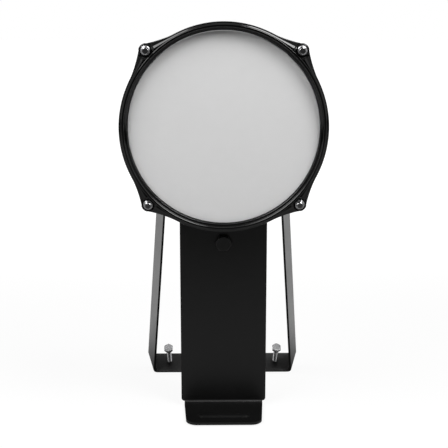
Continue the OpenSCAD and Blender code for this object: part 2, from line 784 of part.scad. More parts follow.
mesh_head();
flesh_hoop();
tension_hoop();
tension_rod_tl();
tension_rod_tr();
tension_rod_bl();
tension_rod_br();
rod_washers();
lug_inserts();
shell();
sensor_bar();
sensor_screws();
piezo_disc();
foam_cone();
jack_socket();
jack_nut();
tower_plate();
foot_pad();
pad_carrier();
shell_screws();
clamp_bolt();
clamp_washer();
clamp_nut();
brace();
brace_studs();
brace_nuts();
spur_left();
spur_right();
spur_nuts();
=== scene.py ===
import logging
import math
from dataclasses import dataclass
from enum import Enum
from typing import Any, ClassVar, Optional, Sequence, Union

import bpy
from mathutils import Matrix, Vector


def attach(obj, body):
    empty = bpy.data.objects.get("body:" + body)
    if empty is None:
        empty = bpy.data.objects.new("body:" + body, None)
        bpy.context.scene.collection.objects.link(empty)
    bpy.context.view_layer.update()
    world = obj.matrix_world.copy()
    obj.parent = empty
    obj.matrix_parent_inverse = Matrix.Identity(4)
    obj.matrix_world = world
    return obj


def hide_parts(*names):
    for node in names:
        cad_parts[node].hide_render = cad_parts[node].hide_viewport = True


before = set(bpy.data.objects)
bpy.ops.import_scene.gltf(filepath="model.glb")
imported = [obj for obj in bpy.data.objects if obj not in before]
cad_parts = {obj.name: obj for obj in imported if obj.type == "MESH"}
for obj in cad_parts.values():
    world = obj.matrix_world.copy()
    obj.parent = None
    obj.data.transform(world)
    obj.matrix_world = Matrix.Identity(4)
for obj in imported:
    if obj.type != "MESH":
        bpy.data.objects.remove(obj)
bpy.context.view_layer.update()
LOG = logging.getLogger("practice_pad")

Colour = tuple[float, float, float]
Ring = tuple[float, float]
Span = tuple[float, float]
Piece = bpy.types.Object

# The pad's axis, in metres: depths are counted backwards from the hoop's front at LIP_Y
LIP_Y = -0.022
PAD_Z = 0.3185
MM = 0.001
# Turn a piece that is made along Z to the back, and over
BACKWARDS = Matrix.Rotation(math.radians(-90), 4, "X")
OVER = Matrix.Rotation(math.pi, 4, "X")


class Slot(Enum):
    """The record's material slots."""

    MESH = "mesh"
    ALUMINIUM = "aluminium_ring"
    GLOSS_BLACK = "gloss_black"
    CHROME = "chrome"
    BRASS = "brass"
    SHELL = "shell_black"
    ZINC = "zinc"
    FOAM = "foam"
    SATIN_BLACK = "satin_black"
    RUBBER = "rubber_black"
    OXIDE = "black_oxide"


class Drive(Enum):
    """Shapes of a fastener's head, by the number of sides."""

    HEX = 6
    SQUARE = 4
    PAN = 48


class Signal:
    """A value on its way through a finish's nodes, with maths written as operators."""

    def __init__(self, board: "Board", socket: Optional[bpy.types.NodeSocket]) -> None:
        """Keep the socket and the board that it is on."""
        self.board = board
        self.socket = socket

    def maths(self, operation: str, first: Any, second: Any) -> "Signal":
        """Add one Math node and return its result."""
        return self.board.add("ShaderNodeMath", {"operation": operation}, {0: first, 1: second})

    def __add__(self, other: Any) -> "Signal":
        """Sum."""
        return self.maths("ADD", self, other)

    def __radd__(self, other: Any) -> "Signal":
        """Sum with the number first."""
        return self.maths("ADD", other, self)

    def __sub__(self, other: Any) -> "Signal":
        """Difference."""
        return self.maths("SUBTRACT", self, other)

    def __rsub__(self, other: Any) -> "Signal":
        """Difference with the number first."""
        return self.maths("SUBTRACT", other, self)

    def __mul__(self, other: Any) -> "Signal":
        """Product."""
        return self.maths("MULTIPLY", self, other)

    def __rmul__(self, other: Any) -> "Signal":
        """Product with the number first."""
        return self.maths("MULTIPLY", other, self)

    def __truediv__(self, other: Any) -> "Signal":
        """Quotient."""
        return self.maths("DIVIDE", self, other)

    def sine(self) -> "Signal":
        """Sine of the value, in radians."""
        return self.maths("SINE", self, 0.0)

    def larger(self, other: Any) -> "Signal":
        """The larger of the two values."""
        return self.maths("MAXIMUM", self, other)

    def smaller(self, other: Any) -> "Signal":
        """The smaller of the two values."""
        return self.maths("MINIMUM", self, other)

    def held(self) -> "Signal":
        """The value kept between 0 and 1."""
        return self.smaller(1.0).larger(0.0)

    def step(self, low: float, high: float) -> "Signal":
        """A soft step from 0 at low to 1 at high."""
        part = ((self - low) / (high - low)).held()
        return part * part * (3.0 - 2.0 * part)


class Board:
    """A node tree that gets every node through one method."""

    def __init__(self, tree: bpy.types.NodeTree) -> None:
        """Start on the tree with nothing in it."""
        self.tree = tree
        tree.nodes.clear()

    def add(self, kind: str, settings: Optional[dict[str, Any]] = None,
            inputs: Optional[dict[Union[int, str], Any]] = None, out: Union[int, str] = 0) -> Signal:
        """Add a node, set it up and feed it.

        Args:
            kind: The node's type.
            settings: Attributes to set first.
            inputs: Values or signals for its sockets, by index or name.
            out: The output socket to return.

        Returns:
            The node's output as a signal.
        """
        node = self.tree.nodes.new(kind)
        for key, value in (settings or {}).items():
            setattr(node, key, value)
        for key, value in (inputs or {}).items():
            if isinstance(value, Signal):
                self.tree.links.new(value.socket, node.inputs[key])
            else:
                node.inputs[key].default_value = value
        return Signal(self, node.outputs[out] if node.outputs else None)

    def place(self) -> Signal:
        """Object coordinates, which are metres in the part's own frame."""
        return self.add("ShaderNodeTexCoord", out="Object")

    def axes(self, vector: Signal) -> tuple[Signal, Signal, Signal]:
        """The three numbers of a vector.

        Args:
            vector: The vector.

        Returns:
            Its X, Y and Z.
        """
        node = self.add("ShaderNodeSeparateXYZ", None, {0: vector}).socket.node
        x, y, z = (Signal(self, node.outputs[i]) for i in range(3))
        return x, y, z

    def noise(self, vector: Signal, size: float, detail: float = 2.0) -> Signal:
        """Noise whose features are about one size wide, in metres."""
        return self.add("ShaderNodeTexNoise", None, {"Vector": vector, "Scale": 1.0 / size, "Detail": detail})

    def blend(self, amount: Any, low: Colour, high: Colour) -> Signal:
        """A colour between two, by an amount from 0 to 1."""
        return self.add("ShaderNodeMix", {"data_type": "RGBA"},
                        {"Factor": amount, 6: (*low, 1.0), 7: (*high, 1.0)}, out=2)

    def bump(self, height: Signal, depth: float, strength: float = 1.0) -> Signal:
        """A surface normal from a height between 0 and 1 and a depth in metres."""
        return self.add("ShaderNodeBump", None, {"Height": height, "Distance": depth, "Strength": strength})

    def glow(self, strength: Any) -> Signal:
        """White light of a strength."""
        return self.add("ShaderNodeEmission", None, {"Color": (1.0, 1.0, 1.0, 1.0), "Strength": strength})

    def mix(self, amount: Any, first: Signal, second: Signal) -> Signal:
        """One of two shaders, or some of each, by an amount from 0 to 1."""
        return self.add("ShaderNodeMixShader", None, {0: amount, 1: first, 2: second})

    def rays(self) -> tuple[Signal, Signal]:
        """Whether the camera looks at a point, and whether a mirror does."""
        node = self.add("ShaderNodeLightPath").socket.node
        return Signal(self, node.outputs["Is Camera Ray"]), Signal(self, node.outputs["Is Glossy Ray"])


@dataclass(frozen=True)
class Finish:
    """A finish with a fine grain, small changes of gloss and a clouded tone."""

    name: str
    slot: Slot
    colour: Colour
    roughness: float
    metallic: float = 0.0
    ior: float = 1.5
    grain: float = 0.0008
    grain_depth: float = 0.00002
    gloss_change: float = 0.08
    tone: float = 0.12
    cloud: float = 0.03

    made: ClassVar[dict[str, bpy.types.Material]] = {}

    def material(self) -> bpy.types.Material:
        """The finish as a material, made once.

        Returns:
            The material.
        """
        if self.name not in self.made:
            material = bpy.data.materials.new(self.name)
            material.use_nodes = True
            board = Board(material.node_tree)
            shader = board.add("ShaderNodeBsdfPrincipled", None,
                               {"Metallic": self.metallic, "IOR": self.ior, **self.surface(board)})
            board.add("ShaderNodeOutputMaterial", None, {"Surface": shader})
            self.made[self.name] = material
        return self.made[self.name]

    def shades(self) -> tuple[Colour, Colour]:
        """The darkest and the lightest tone of the colour."""
        low, high = (tuple(min(1.0, c * k) for c in self.colour) for k in (1 - self.tone, 1 + self.tone))
        return low, high

    def surface(self, board: Board) -> dict[str, Signal]:
        """Colour, roughness and relief.

        Args:
            board: The node tree to add to.

        Returns:
            The signals for the shader's sockets.
        """
        place = board.place()
        cloud = board.noise(place, self.cloud, 3.0)
        fine = board.noise(place, self.grain, 2.0)
        rough = self.roughness + (cloud - 0.5) * (2 * self.gloss_change) + (fine - 0.5) * self.gloss_change
        return {"Base Color": board.blend(cloud * 0.6 + fine * 0.4, *self.shades()),
                "Roughness": rough.held(),
                "Normal": board.bump(fine, self.grain_depth)}


@dataclass(frozen=True)
class Weave(Finish):
    """Two crossed sets of fine threads, pulled flat."""

    cloud: float = 0.012
    pitch: float = 0.0007

    def surface(self, board: Board) -> dict[str, Signal]:
        """Threads over and under each other, with the cloth's faint clouding.

        Args:
            board: The node tree to add to.

        Returns:
            The signals for the shader's sockets.
        """
        place = board.place()
        x, _, z = board.axes(place)
        turn = 2 * math.pi / self.pitch
        threads = ((x * turn).sine() * 0.5 + 0.5).larger((z * turn).sine() * 0.5 + 0.5)
        cloud = board.noise(place, self.cloud, 4.0)
        return {"Base Color": board.blend((threads * 0.5 + cloud * 0.5).held(), *self.shades()),
                "Roughness": (self.roughness + (cloud - 0.5) * self.gloss_change).held(),
                "Normal": board.bump(threads, self.grain_depth, 0.6)}


@dataclass(frozen=True)
class Plated(Finish):
    """Bright plating over the fine lines of a machined blank."""

    cloud: float = 0.006

    def surface(self, board: Board) -> dict[str, Signal]:
        """Faint machining lines and clouded gloss.

        Args:
            board: The node tree to add to.

        Returns:
            The signals for the shader's sockets.
        """
        place = board.place()
        cloud = board.noise(place, self.cloud, 3.0)
        lines = board.noise(board.add("ShaderNodeMapping", None, {"Vector": place, "Scale": (1.0, 6.0, 1.0)}),
                            self.grain, 2.0)
        rough = self.roughness + (cloud - 0.5) * self.gloss_change + (lines - 0.5) * self.gloss_change
        return {"Base Color": board.blend(cloud, *self.shades()),
                "Roughness": rough.held(),
                "Normal": board.bump(lines, self.grain_depth, 0.5)}


class Finishes:
    """The pad's finishes."""

    mesh = Weave("stretched_mesh", Slot.MESH, (0.83, 0.83, 0.83), 0.62, ior=1.4, grain_depth=0.00004,
                 tone=0.035, gloss_change=0.1)
    gloss = Finish("moulded_gloss_black", Slot.GLOSS_BLACK, (0.002, 0.002, 0.002), 0.09, grain=0.0016,
                   grain_depth=0.0000008, gloss_change=0.008)
    satin = Finish("satin_powder_black", Slot.SATIN_BLACK, (0.0016, 0.0016, 0.0016), 0.37,
                   grain_depth=0.00001, gloss_change=0.05, tone=0.3)
    oxide = Finish("dark_oxide", Slot.OXIDE, (0.015, 0.015, 0.015), 0.34, ior=1.45, grain=0.0006, tone=0.3)
    shell = Finish("matte_moulded_black", Slot.SHELL, (0.016, 0.016, 0.016), 0.52, grain=0.0005,
                   grain_depth=0.00004)
    rubber = Finish("matte_rubber", Slot.RUBBER, (0.018, 0.018, 0.018), 0.8, grain=0.0012,
                    grain_depth=0.00005)
    chrome = Plated("bright_chrome", Slot.CHROME, (0.48, 0.48, 0.49), 0.2, metallic=1.0, grain=0.0006,
                    grain_depth=0.000003, gloss_change=0.05, tone=0.04)
    zinc = Plated("bright_zinc", Slot.ZINC, (0.74, 0.74, 0.75), 0.24, metallic=1.0, grain=0.0005,
                  grain_depth=0.000006, gloss_change=0.12, tone=0.1)
    brass = Plated("plain_brass", Slot.BRASS, (0.72, 0.53, 0.24), 0.3, metallic=1.0, grain=0.0006, tone=0.1)
    aluminium = Plated("mill_aluminium", Slot.ALUMINIUM, (0.6, 0.6, 0.62), 0.36, metallic=1.0, grain=0.0007,
                       tone=0.08)
    foam = Finish("open_cell_foam", Slot.FOAM, (0.05, 0.05, 0.055), 0.95, grain=0.0016, grain_depth=0.0004,
                  tone=0.4)


class Bench:
    """Modelling steps that are the same for every piece."""

    @staticmethod
    def clear() -> None:
        """Leave edit mode and select nothing."""
        if bpy.context.object and bpy.context.object.mode != "OBJECT":
            bpy.ops.object.mode_set(mode="OBJECT")
        bpy.ops.object.select_all(action="DESELECT")

    @staticmethod
    def focus(piece: Piece) -> None:
        """Select one piece alone and make it the active one.

        Args:
            piece: The piece.
        """
        Bench.clear()
        piece.select_set(True)
        bpy.context.view_layer.objects.active = piece

    @staticmethod
    def edit(piece: Piece, action: str = "SELECT") -> None:
        """Open a piece for editing, with all or none of its vertices selected.

        Args:
            piece: The piece.
            action: SELECT or DESELECT.
        """
        Bench.focus(piece)
        bpy.ops.object.mode_set(mode="EDIT")
        bpy.ops.mesh.select_mode(type="VERT")
        bpy.ops.mesh.select_all(action=action)

    @staticmethod
    def close(piece: Piece) -> Piece:
        """Leave edit mode."""
        bpy.ops.object.mode_set(mode="OBJECT")
        return piece

    @staticmethod
    def pick(piece: Piece, *ranges: range) -> None:
        """Open a piece for editing with only the vertices in some ranges selected.

        Args:
            piece: The piece.
            ranges: The ranges of vertex numbers.
        """
        Bench.edit(piece, "DESELECT")
        Bench.close(piece)
        for span in ranges:
            for i in span:
                piece.data.vertices[i].select = True
        bpy.ops.object.mode_set(mode="EDIT")

    @staticmethod
    def modify(piece: Piece, kind: str, **settings: Any) -> Piece:
        """Add a modifier with its settings and apply it.

        Args:
            piece: The piece.
            kind: The modifier's type.
            settings: Its settings by name.

        Returns:
            The same piece.
        """
        Bench.focus(piece)
        modifier = piece.modifiers.new(kind.lower(), kind)
        for key, value in settings.items():
            setattr(modifier, key, value)
        bpy.ops.object.modifier_apply(modifier=modifier.name)
        return piece

    @staticmethod
    def cut(piece: Piece, tool: Piece, operation: str = "DIFFERENCE") -> None:
        """Cut a piece with a tool, add it or keep what they share, and take the tool away.

        Args:
            piece: The piece.
            tool: The solid to cut with.
            operation: DIFFERENCE, UNION or INTERSECT.
        """
        Bench.modify(piece, "BOOLEAN", operation=operation, solver="EXACT", object=tool)
        bpy.data.objects.remove(tool)

    @staticmethod
    def soften(piece: Piece, width: float, segments: int = 2, angle: float = 32.0,
               crease: float = 35.0) -> Piece:
        """Round the sharp edges and shade the rest smooth.

        Args:
            piece: The piece.
            width: Width of the rounding.
            segments: Faces across it.
            angle: Edges sharper than this, in degrees, are rounded.
            crease: Edges sharper than this, in degrees, are left crisp.

        Returns:
            The same piece.
        """
        Bench.modify(piece, "BEVEL", width=width, segments=segments, limit_method="ANGLE",
                     angle_limit=math.radians(angle), use_clamp_overlap=True, miter_outer="MITER_ARC")
        Bench.shade(piece, crease)
        return Bench.modify(piece, "WEIGHTED_NORMAL", keep_sharp=True, weight=50)

    @staticmethod
    def shade(piece: Piece, angle: float = 35.0) -> Piece:
        """Shade smooth, with sharp edges left crisp.

        Args:
            piece: The piece.
            angle: The least angle of a sharp edge, in degrees.

        Returns:
            The same piece.
        """
        Bench.focus(piece)
        bpy.ops.object.shade_smooth_by_angle(angle=math.radians(angle))
        return piece

    @staticmethod
    def move(piece: Piece, matrix: Matrix) -> Piece:
        """Set a piece in its place and apply it, so that the object stays at the origin.

        Args:
            piece: The piece.
            matrix: Its place.

        Returns:
            The same piece.
        """
        Bench.focus(piece)
        piece.matrix_world = matrix
        bpy.ops.object.transform_apply(location=True, rotation=True, scale=True)
        return piece

    @staticmethod
    def repeat(piece: Piece, places: Sequence[Matrix]) -> list[Piece]:
        """Set a piece in the first of some places, and copies with their own meshes in the others.

        Args:
            piece: The piece.
            places: The places.

        Returns:
            The piece and its copies.
        """
        pieces = [piece]
        for _ in places[1:]:
            twin = piece.copy()
            twin.data = piece.data.copy()
            bpy.context.scene.collection.objects.link(twin)
            pieces.append(twin)
        return [Bench.move(each, place) for each, place in zip(pieces, places)]

    @staticmethod
    def join(pieces: Sequence[Piece], name: str) -> Piece:
        """Make several pieces one.

        Args:
            pieces: The pieces.
            name: The name of the joined one.

        Returns:
            The joined piece.
        """
        Bench.focus(pieces[0])
        for piece in pieces:
            piece.select_set(True)
        if len(pieces) > 1:
            bpy.ops.object.join()
        pieces[0].name = name
        return pieces[0]

    @staticmethod
    def copied(node: str, name: str) -> Piece:
        """A copy of a CAD node, merged and with its flat faces made whole.

        Args:
            node: The node's name.
            name: The copy's name.

        Returns:
            The copy.
        """
        piece = bpy.data.objects.new(name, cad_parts[node].data.copy())
        bpy.context.scene.collection.objects.link(piece)
        Bench.focus(piece)
        bpy.ops.mesh.customdata_custom_splitnormals_clear()
        Bench.edit(piece)
        bpy.ops.mesh.remove_doubles(threshold=2e-6)
        bpy.ops.mesh.dissolve_limited(angle_limit=math.radians(0.3))
        return Bench.close(piece)

    @staticmethod
    def turned(name: str, profile: Sequence[Ring], steps: int = 64, ring: bool = False) -> Piece:
        """Turn a profile about Z, ring by ring, as on a lathe.

        Args:
            name: The piece's name.
            profile: Radius and height of each ring. A radius of 0 at an end closes it in a point.
            steps: Vertices in a ring.
            ring: Whether the last ring joins the first one.

        Returns:
            The turned piece, at the origin.
        """
        rings = [(r, h) for r, h in profile if r > 0]
        Bench.clear()
        bpy.ops.mesh.primitive_circle_add(vertices=steps, radius=rings[0][0], location=(0, 0, rings[0][1]))
        piece = bpy.context.object
        piece.name = name
        bpy.ops.object.transform_apply(location=True, rotation=True, scale=True)
        Bench.edit(piece)
        for (r0, h0), (r1, h1) in zip(rings, rings[1:]):
            bpy.ops.mesh.extrude_region_move(TRANSFORM_OT_translate={"value": (0, 0, h1 - h0)})
            bpy.ops.transform.resize(value=(r1 / r0, r1 / r0, 1), center_override=(0, 0, h1))
        if profile[-1][0] == 0:
            Bench.pole(profile[-1][1] - rings[-1][1])
        Bench.close(piece)
        if profile[0][0] == 0:
            Bench.pick(piece, range(steps))
            Bench.pole(profile[0][1] - rings[0][1])
        elif ring:
            count = len(piece.data.vertices)
            Bench.pick(piece, range(steps), range(count - steps, count))
            bpy.ops.mesh.bridge_edge_loops()
        Bench.edit(piece)
        bpy.ops.mesh.normals_make_consistent(inside=False)
        return Bench.close(piece)

    @staticmethod
    def pole(rise: float) -> None:
        """Draw the selected ring in to a point on the axis."""
        bpy.ops.mesh.extrude_region_move(TRANSFORM_OT_translate={"value": (0, 0, rise)})
        bpy.ops.mesh.merge(type="CENTER")

    @staticmethod
    def dress(piece: Piece, finish: Finish, body: str, *nodes: str) -> None:
        """Give a piece its finish, let it ride on a body and stand for its CAD nodes.

        Args:
            piece: The piece.
            finish: Its finish.
            body: The CAD body that it moves with.
            nodes: The CAD nodes that it replaces.
        """
        piece.data.materials.clear()
        piece.data.materials.append(finish.material())
        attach(piece, body)
        if nodes:
            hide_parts(*nodes)
        LOG.info("%s: %d faces, rides on %s", piece.name, len(piece.data.polygons), body)


def pad_frame(x: float = 0.0, depth: float = 0.0, z: float = 0.0) -> Matrix:
    """The place of a piece on the pad, whose local Z points to the back.

    Args:
        x: Distance to the right of the head's centre.
        depth: Distance behind the hoop's front.
        z: Distance above the head's centre.

    Returns:
        The matrix that sets it there.
    """
    return Matrix.Translation((x, LIP_Y + depth, PAD_Z + z)) @ BACKWARDS


@dataclass
class DrumHead:
    """The stretched mesh and the foam that carries its knocks to the sensor."""

    skirt_r: float = 0.0975
    recess: float = 0.008
    skirt_end: float = 0.018
    skirt_mid: float = 0.0135
    turn_r: float = 0.0001
    turn_at: tuple[float, ...] = (0, 0.4, 0.8, 1.2, math.pi / 2)
    flat_at: tuple[float, ...] = (0.95, 0.85, 0.7, 0.55, 0.4, 0.25, 0.12, 0.04, 0.0)
    cloth: float = 0.0006
    steps: int = 240

    def build(self) -> None:
        """Make the head and the foam."""
        self.mesh()
        self.foam()

    def mesh(self) -> None:
        """Draw a disc of cloth over the shell's edge, down to its bonded ring."""
        r, d, t = self.skirt_r, self.recess, self.turn_r
        turn = [(r - t + t * math.cos(a), d + t - t * math.sin(a)) for a in self.turn_at]
        flat = [(r * share, d) for share in self.flat_at]
        profile = [(r, self.skirt_end), (r, self.skirt_mid), *turn, *flat]
        piece = Bench.turned("stretched_head", profile, self.steps)
        Bench.modify(piece, "SOLIDIFY", thickness=self.cloth, offset=-1.0)
        Bench.shade(piece, 40)
        Bench.move(piece, pad_frame())
        Bench.dress(piece, Finishes.mesh, "stand", "mesh_head")

    @staticmethod
    def foam() -> None:
        """Turn a cone of foam between the head and the sensor, its edges worn round."""
        profile = [(0.0, 9.2), (4.5, 9.2), (5.6, 9.5), (6.1, 10.2), (8.5, 14.5), (11.2, 19.2), (14.0, 23.8),
                   (15.8, 26.3), (16.3, 27.0), (15.8, 27.4), (0.0, 27.4)]
        piece = Bench.turned("foam_carrier", [(r * MM, d * MM) for r, d in profile])
        Bench.shade(piece, 50)
        Bench.move(piece, pad_frame())
        Bench.dress(piece, Finishes.foam, "stand", "foam_cone")


@dataclass
class TensionHoop:
    """The glossy hoop, in millimetres: a lip, a ridge, and a shoulder that draws out into four ears.

    The lip and the ridge are rings from the back to the front and out: each has its distance from lip_r or
    ridge_at, and its depth. The shares and falls say how the shoulder widens and drops as an ear grows.
    """

    lip: tuple[Ring, ...] = (
        (0.0, 8.4), (0.0, 5.0), (0.08, 4.62), (0.3, 4.4), (0.7, 4.25), (1.3, 4.05), (1.9, 3.85), (2.3, 3.72),
        (2.48, 3.6), (2.54, 3.2))
    ridge: tuple[Ring, ...] = (
        (-1.45, 1.8), (-1.42, 1.05), (-1.34, 0.74), (-1.2, 0.5), (-0.86, 0.2), (-0.7, 0.09), (-0.45, 0.0),
        (0.95, 0.0), (1.05, 0.05), (1.45, 0.36), (1.55, 0.5))
    lip_r: float = 98.2
    in_r: float = 102.5
    out_r: float = 106.4
    lip_h: float = 12.0
    height: float = 22.0
    ridge_at: float = 102.2
    groove_r: float = 103.85
    groove_d: float = 2.1
    rod_r: float = 110.0
    ear_r: float = 7.5
    flank_r: float = 140.0
    run_in: float = 0.4
    run_blend: float = 0.3
    flat_share: float = 0.27
    slope_w: float = 1.2
    slope_share: float = 0.24
    slope_most: float = 3.3
    slope_fall: float = 0.75
    slope_ease: float = 0.18
    shelf_fall: float = 0.27
    rim_edge: float = 0.5
    ear_edge: float = 0.4
    ear_from: float = 0.1
    ear_run: float = 3.0
    ear_end: float = 17.0
    wall_at: tuple[float, ...] = (9.5, 12.5, 15.2)
    back_steps: tuple[float, ...] = (-0.9, -0.5, -0.1, 0.35, 0.75)
    boss_r: float = 9.0
    boss_run: float = 2.6
    boss_rise: float = 0.9
    seat_d: float = 6.0
    seat_r: float = 6.1
    seat_break: float = 0.45
    bore_r: float = 2.8
    tool_over: float = 6.0
    tool_end: float = 30.0
    front_rings: int = 30
    rim_rings: int = 6
    steps: int = 1080

    def reach(self, turn: float) -> float:
        """Radius of the hoop's outline: the ear's round end, its hollow flank, then the plain rim.

        Args:
            turn: Angle from an ear's middle, in degrees.

        Returns:
            The radius.
        """
        centre = self.out_r - self.run_in + self.flank_r
        apart = self.ear_r - self.run_in + self.flank_r
        swing = math.acos((self.rod_r ** 2 + centre ** 2 - apart ** 2) / (2 * self.rod_r * centre))
        touch = math.atan2(centre * math.sin(swing) * self.ear_r / apart,
                           self.rod_r + (centre * math.cos(swing) - self.rod_r) * self.ear_r / apart)
        a = abs(math.radians(turn))
        if a < touch:
            return self.rod_r * math.cos(a) + math.sqrt(self.ear_r ** 2 - (self.rod_r * math.sin(a)) ** 2)
        if a > swing:
            return self.out_r
        side = swing - a
        flank = centre * math.cos(side) - math.sqrt(self.flank_r ** 2 - (centre * math.sin(side)) ** 2)
        gap = flank - self.out_r
        return self.out_r + 0.5 * (gap + math.sqrt(gap * gap + self.run_blend ** 2))

    def inner(self) -> list[Ring]:
        """Radius and depth of the lip and the ridge, which are the same all round.

        Returns:
            The rings.
        """
        lip = [(self.lip_r + r, d) for r, d in self.lip]
        return [(self.lip_r, self.lip_h), *lip, *((self.ridge_at + r, d) for r, d in self.ridge)]

    def slope(self, out: float, reach: float) -> float:
        """Depth of the front at a distance outside the groove: a flat, a slope with eased ends, then a shelf.

        Args:
            out: The distance.
            reach: The outline's radius there.

        Returns:
            The depth.
        """
        grown = max(0.0, reach - self.out_r)
        width = min(self.slope_most, self.slope_w + self.slope_share * grown)
        ease = self.slope_ease * width
        out = max(0.0, out - self.flat_share * grown)
        past, out = max(0.0, out - width), min(width, out)
        way = out - ease / 2
        if out < ease:
            way = out * out / (2 * ease)
        elif out > width - ease:
            way = width - ease - (width - out) ** 2 / (2 * ease)
        return self.groove_d + self.slope_fall * way + self.shelf_fall * past

    def outer(self, reach: float) -> list[Ring]:
        """Radius and depth of the shoulder, the wall and the back, for an outline of that radius.

        Args:
            reach: The outline's radius.

        Returns:
            The rings.
        """
        grow = min(1.0, max(0.0, (reach - self.out_r - self.ear_from) / self.ear_run))
        ease, back, edge = grow * grow * (3 - 2 * grow), self.ear_end, self.rim_edge + self.ear_edge * grow
        end = reach - edge - self.groove_r
        rings = [(self.groove_r + end * i / self.front_rings, self.slope(end * i / self.front_rings, reach))
                 for i in range(self.front_rings)]
        sink = self.slope(end, reach) + edge
        for i in range(self.rim_rings):
            a = math.pi / 2 * i / (self.rim_rings - 1)
            rings.append((reach - edge + edge * math.sin(a), sink - edge * math.cos(a)))
        rings += [(reach, depth) for depth in self.wall_at]
        plain = [(self.out_r, back + step) for step in self.back_steps]
        eared = [(reach, back - 0.9), (reach - 0.25, back - 0.3), (reach - 0.9, back),
                 (0.5 * (reach - 0.9 + self.out_r), back), (self.out_r, back + 0.05)]
        rings += [(p[0] + (e[0] - p[0]) * ease, p[1] + (e[1] - p[1]) * ease) for p, e in zip(plain, eared)]
        return rings + [(self.out_r, 19.2), (self.out_r, 20.8), (self.out_r - 0.35, 21.65),
                        (self.out_r - 1.2, self.height), (self.in_r, self.height),
                        (self.in_r, 0.5 * (self.height + self.lip_h)), (self.in_r, self.lip_h)]

    def build(self) -> None:
        """Turn the hoop, draw out its ears and cut the rods' seats."""
        inner = self.inner()
        profile = inner + self.outer(self.out_r)
        piece = Bench.turned("gloss_hoop", [(r * MM, d * MM) for r, d in profile], self.steps, ring=True)
        self.draw_ears(piece, len(inner), len(profile))
        self.cut_seats(piece)
        Bench.shade(piece, 38)
        Bench.move(piece, pad_frame())
        Bench.dress(piece, Finishes.gloss, "stand", "tension_hoop")

    def draw_ears(self, piece: Piece, first: int, rings: int) -> None:
        """Draw the outer rings out into the ears.

        Args:
            piece: The turned hoop.
            first: The first ring that moves.
            rings: The number of rings.
        """
        for i in range(first * self.steps, rings * self.steps):
            vertex = piece.data.vertices[i]
            ring = i // self.steps - first
            x, y, _ = vertex.co
            radius = math.hypot(x, y)
            turn = abs(math.degrees(math.atan2(y, x)) % 90 - 45)
            r, d = self.outer(self.reach(turn))[ring]
            a = math.radians(turn)
            from_rod = math.hypot(r * math.cos(a) - self.rod_r, r * math.sin(a))
            if ring < self.front_rings + self.rim_rings and from_rod < self.boss_r:
                near = min(1.0, (self.boss_r - from_rod) / self.boss_run)
                d -= self.boss_rise * near * near * (3 - 2 * near)
            vertex.co = (x / radius * r * MM, y / radius * r * MM, d * MM)

    def cut_seats(self, piece: Piece) -> None:
        """Cut the seats of the rods' washers and the bores through the ears.

        Args:
            piece: The hoop with its ears.
        """
        rim = self.slope(self.ear_r + self.rod_r - self.groove_r, self.ear_r + self.rod_r) - self.boss_rise
        wide = self.seat_r + self.seat_break
        profile = [(0.0, rim - self.tool_over), (wide, rim - self.tool_over), (wide, rim - 0.1),
                   (self.seat_r, rim + 0.35), (self.seat_r, self.seat_d), (self.bore_r, self.seat_d),
                   (self.bore_r, self.tool_end), (0.0, self.tool_end)]
        tool = Bench.turned("seat_tool", [(r * MM, d * MM) for r, d in profile])
        out = Matrix.Translation((self.rod_r * MM, 0, 0))
        places = [Matrix.Rotation(math.radians(turn), 4, "Z") @ out for turn in (45, 135, 225, 315)]
        for each in Bench.repeat(tool, places):
            Bench.cut(piece, each)


